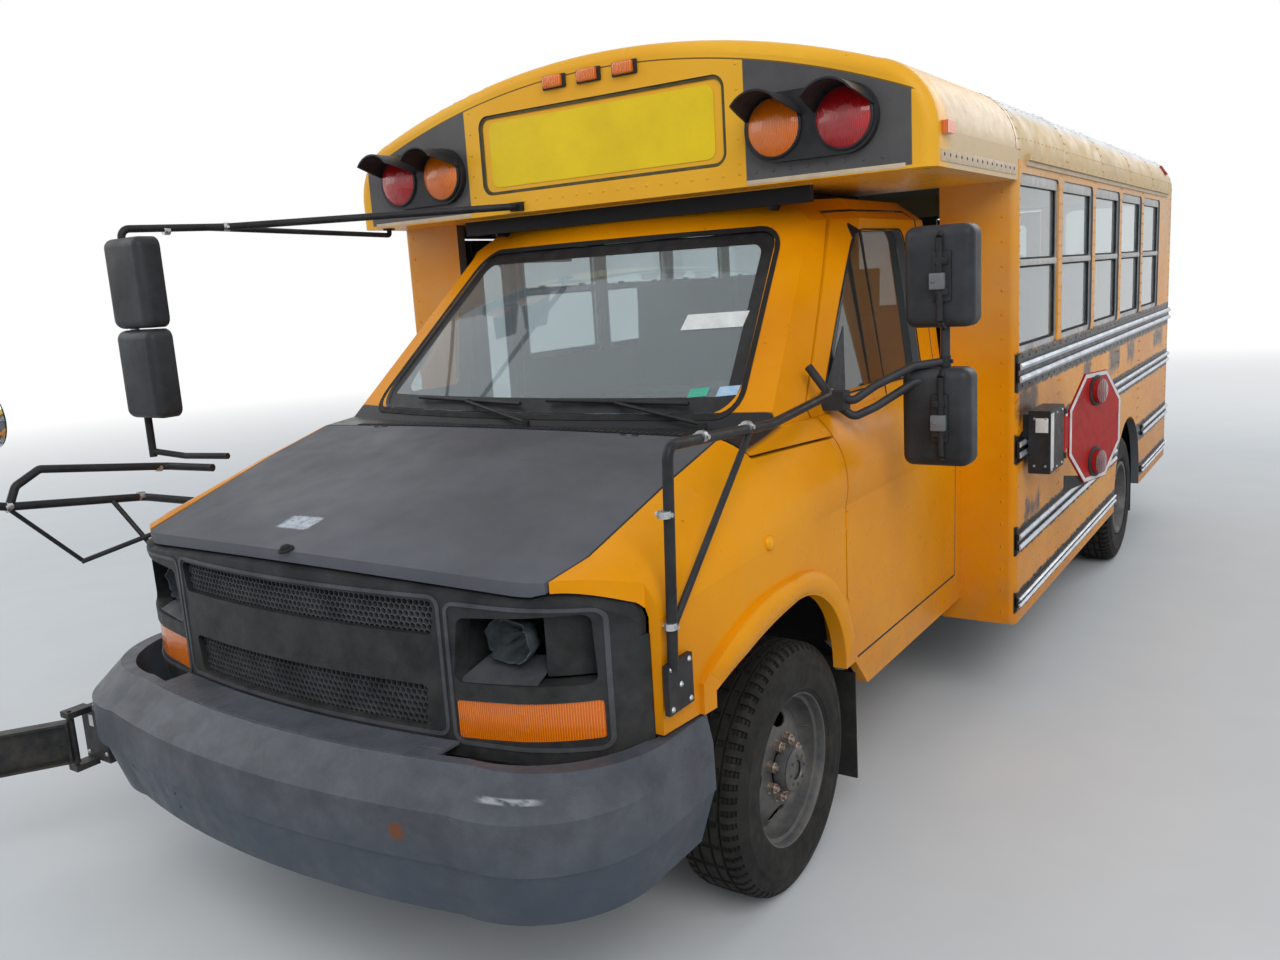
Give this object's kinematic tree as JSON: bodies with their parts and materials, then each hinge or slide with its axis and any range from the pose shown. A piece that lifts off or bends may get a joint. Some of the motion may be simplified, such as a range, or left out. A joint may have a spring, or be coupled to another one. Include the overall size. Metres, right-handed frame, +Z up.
{
  "type": "school bus",
  "caption": "Short school bus on a cutaway van chassis, with opening doors and hood, steering, turning wheels, stop arm, mirrors and bench seats inside.",
  "frame": {"origin": "on the ground, on the centreline, midway along the bus", "axes": "+Z up, -Y towards the front, +X towards the driver's side"},
  "size_m": [2.8295, 6.9831, 2.6519],
  "materials": {
    "bus_yellow": "semi-gloss",
    "roof_white": "satin",
    "hood_charcoal": "matte",
    "floor_grey": "matte",
    "black_paint": "satin",
    "black_plastic": "grained",
    "bumper_grey": "worn satin",
    "flap_rubber": "matte",
    "sash_metal": "dull",
    "pane": "clear",
    "amber_lens": "ribbed",
    "red_lens": "ribbed",
    "wheel_steel": "dusty satin",
    "tyre": "dusty",
    "seat_vinyl": "satin",
    "engine_iron": "rough",
    "stop_red": "semi-gloss"
  },
  "bodies": {
    "bus": {"left_wall": "bus_yellow", "right_wall": "bus_yellow", "rear_wall": "bus_yellow", "front_cap": "bus_yellow", "cab_shell": "bus_yellow", "fenders": "bus_yellow", "lamp_hoods": "bus_yellow", "roof": "roof_white", "body_floor": "floor_grey", "rub_rails": "black_paint", "chassis_frame": "black_paint", "axles": "black_paint", "far_mirror_arms": "black_paint", "fender_frames": "black_paint", "driveline": "black_paint", "wipers": "black_paint", "front_fascia": "black_plastic", "grille_mesh": "black_plastic", "far_mirror_heads": "black_plastic", "arm_boxes": "black_plastic", "cab_interior": "black_plastic", "bumpers": "bumper_grey", "mud_flaps": "flap_rubber", "window_sashes": "sash_metal", "side_glass": "pane", "amber_lamps": "amber_lens", "red_lamps": "red_lens", "bench_seats": "seat_vinyl", "engine_block": "engine_iron"},
    "hood": {"hood": "hood_charcoal"},
    "driver_door": {"driver_door": "bus_yellow", "driver_door_glass": "pane", "door_mirrors": "black_plastic"},
    "entry_front": {"entry_leaf_front": "black_paint", "entry_glass_front": "pane"},
    "entry_rear": {"entry_leaf_rear": "black_paint", "entry_glass_rear": "pane"},
    "rear_door": {"rear_door": "bus_yellow", "rear_door_glass": "pane"},
    "stop_arm": {"stop_blade": "stop_red"},
    "crossing_arm": {"crossing_arm": "black_paint"},
    "steer_left": {"knuckle_left": "black_paint"},
    "steer_right": {"knuckle_right": "black_paint"},
    "front_wheel_left": {"front_wheel_left": "wheel_steel", "front_tyre_left": "tyre"},
    "front_wheel_right": {"front_wheel_right": "wheel_steel", "front_tyre_right": "tyre"},
    "rear_wheels_left": {"rear_wheels_left": "wheel_steel", "rear_tyres_left": "tyre"},
    "rear_wheels_right": {"rear_wheels_right": "wheel_steel", "rear_tyres_right": "tyre"}
  },
  "joints": [
    {"name": "steering_left", "type": "hinge", "parent": "bus", "child": "steer_left", "pos_m": [0.742, -2.2, 0.372], "axis": [0, 0, 1], "range_deg": [-30, 30]},
    {"name": "steering_right", "type": "hinge", "parent": "bus", "child": "steer_right", "pos_m": [-0.742, -2.2, 0.372], "axis": [0, 0, 1], "range_deg": [-30, 30]},
    {"name": "front_spin_left", "type": "hinge", "parent": "steer_left", "child": "front_wheel_left", "pos_m": [0.874, -2.2, 0.372], "axis": [1, 0, 0], "continuous": true},
    {"name": "front_spin_right", "type": "hinge", "parent": "steer_right", "child": "front_wheel_right", "pos_m": [-0.874, -2.2, 0.372], "axis": [1, 0, 0], "continuous": true},
    {"name": "rear_spin_left", "type": "hinge", "parent": "bus", "child": "rear_wheels_left", "pos_m": [0.931, 1.839, 0.372], "axis": [1, 0, 0], "continuous": true},
    {"name": "rear_spin_right", "type": "hinge", "parent": "bus", "child": "rear_wheels_right", "pos_m": [-0.931, 1.839, 0.372], "axis": [1, 0, 0], "continuous": true},
    {"name": "hood_hinge", "type": "hinge", "parent": "bus", "child": "hood", "pos_m": [0, -2.281, 1.353], "axis": [-1, 0, 0], "range_deg": [0, 50]},
    {"name": "driver_door_hinge", "type": "hinge", "parent": "bus", "child": "driver_door", "pos_m": [1.008, -1.856, 1.2], "axis": [0, 0, -1], "range_deg": [0, 65]},
    {"name": "entry_front_hinge", "type": "hinge", "parent": "bus", "child": "entry_front", "pos_m": [-1.217, -1.322, 1.2], "axis": [0, 0, 1], "range_deg": [0, 85]},
    {"name": "entry_rear_hinge", "type": "hinge", "parent": "bus", "child": "entry_rear", "pos_m": [-1.217, -0.711, 1.2], "axis": [0, 0, -1], "range_deg": [0, 85]},
    {"name": "rear_door_hinge", "type": "hinge", "parent": "bus", "child": "rear_door", "pos_m": [-0.372, 3.34, 1.4], "axis": [0, 0, 1], "range_deg": [0, 100]},
    {"name": "stop_arm_hinge", "type": "hinge", "parent": "bus", "child": "stop_arm", "pos_m": [1.314, -0.35, 1.085], "axis": [0, 0, -1], "range_deg": [-15, 75]},
    {"name": "crossing_arm_hinge", "type": "hinge", "parent": "bus", "child": "crossing_arm", "pos_m": [-1.15, -3.165, 0.43], "axis": [0, 0, 1], "range_deg": [0, 100]}
  ],
  "couplings": [
    {"joint": "steering_right", "follows": "steering_left", "ratio": 1},
    {"joint": "entry_rear_hinge", "follows": "entry_front_hinge", "ratio": 1}
  ]
}
